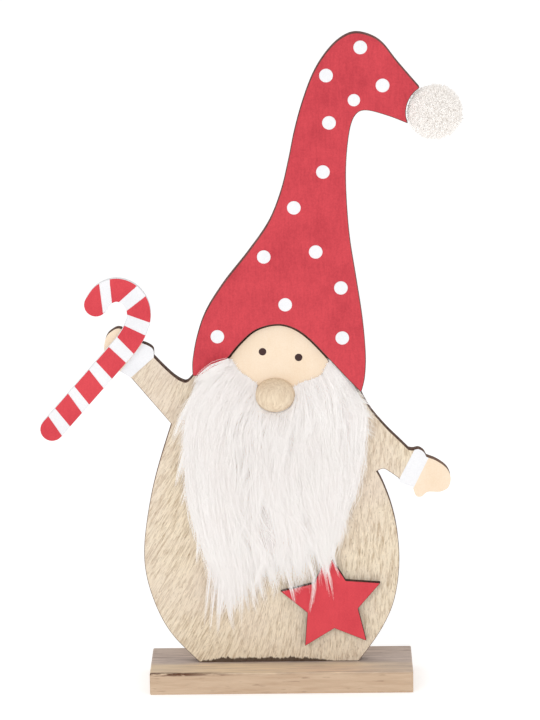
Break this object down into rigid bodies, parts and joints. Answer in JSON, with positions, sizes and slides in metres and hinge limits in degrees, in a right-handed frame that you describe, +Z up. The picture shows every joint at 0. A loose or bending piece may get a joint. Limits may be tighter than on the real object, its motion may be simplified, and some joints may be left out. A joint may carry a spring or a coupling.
{
  "type": "gnome figurine",
  "caption": "Free-standing wooden gnome ornament: flat cut-out body and tall leaning hat on a bar base, with a long fur beard, bead nose, pompom, candy cane and star.",
  "frame": {"origin": "centre of the underside of the base bar, which is the plane the object stands on", "axes": "+Z up, +X along the base bar towards the hat's tip and the pompom, and the gnome's front faces -Y"},
  "size_m": [0.1913, 0.04, 0.3007],
  "materials": {
    "base_wood": "sawn softwood bar, brushed grain, greyer on top",
    "body_wood": "brushed natural light wood with scorched cut edges",
    "red_paint": "matt red paint on wood, scorched cut edges",
    "star_paint": "matt red paint on thin wood, scorched cut edges",
    "face_paint": "matt pale peach paint on thin wood",
    "nose_wood": "natural turned wood, sanded",
    "white_paint": "matt white paint on wood",
    "fur_backing": "knitted off-white backing",
    "fur_pile": "long silky white pile",
    "pompom_yarn": "dense fluffy off-white yarn",
    "screw_steel": "bright zinc plating"
  },
  "bodies": {
    "root": {"base_block": "base_wood", "body_board": "body_wood", "hat_board": "red_paint", "face_plate": "face_paint", "nose": "nose_wood", "beard_backing": "fur_backing", "beard_pile": "fur_pile", "pompom": "pompom_yarn", "candy_cane": "white_paint", "star": "star_paint", "base_screw_left": "screw_steel", "base_screw_right": "screw_steel"}
  },
  "joints": []
}
